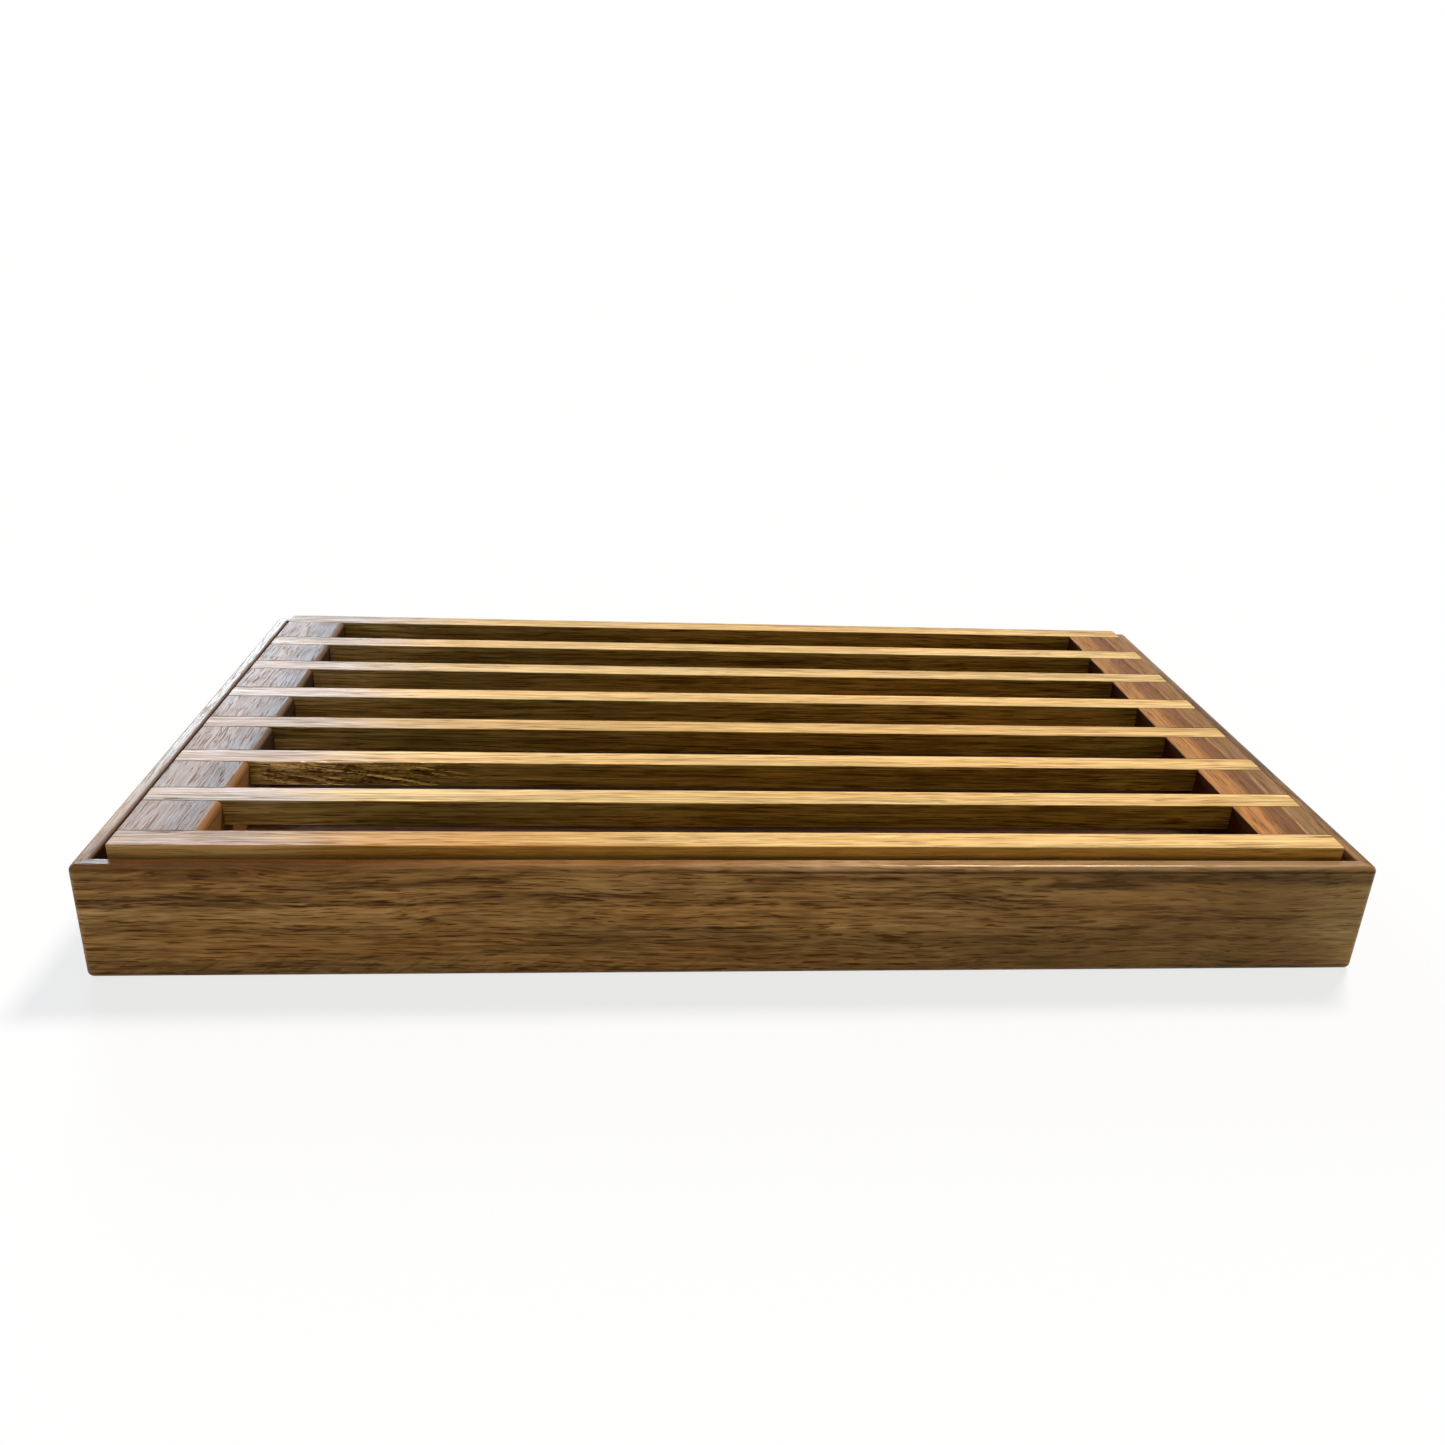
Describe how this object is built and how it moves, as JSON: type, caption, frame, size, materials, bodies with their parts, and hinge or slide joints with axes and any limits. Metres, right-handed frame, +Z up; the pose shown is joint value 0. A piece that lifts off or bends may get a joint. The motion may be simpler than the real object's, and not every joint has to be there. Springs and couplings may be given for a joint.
{
  "type": "bread board with crumb catcher",
  "caption": "Slatted wooden bread rack that lifts out of a low rectangular tray, which catches the crumbs.",
  "frame": {"origin": "on the table, under the middle of the tray", "axes": "+X along the length of the slats, +Y towards the back, +Z up"},
  "size_m": [0.4, 0.212, 0.0425],
  "materials": {
    "wall_wood": "oiled, satin",
    "floor_wood": "oiled, satin",
    "rail_wood": "oiled, satin",
    "slat_wood": "oiled, satin"
  },
  "bodies": {
    "tray": {"front_wall": "wall_wood", "back_wall": "wall_wood", "left_wall": "wall_wood", "right_wall": "wall_wood", "floor_stave_1": "floor_wood", "floor_stave_2": "floor_wood", "floor_stave_3": "floor_wood", "floor_stave_4": "floor_wood", "floor_stave_5": "floor_wood"},
    "rack": {"left_rail": "rail_wood", "right_rail": "rail_wood", "slat_1": "slat_wood", "slat_2": "slat_wood", "slat_3": "slat_wood", "slat_4": "slat_wood", "slat_5": "slat_wood", "slat_6": "slat_wood", "slat_7": "slat_wood", "slat_8": "slat_wood"}
  },
  "joints": [
    {"name": "rack_lift", "type": "slide", "parent": "tray", "child": "rack", "axis": [0, 0, 1], "range_m": [0, 0.06]}
  ]
}
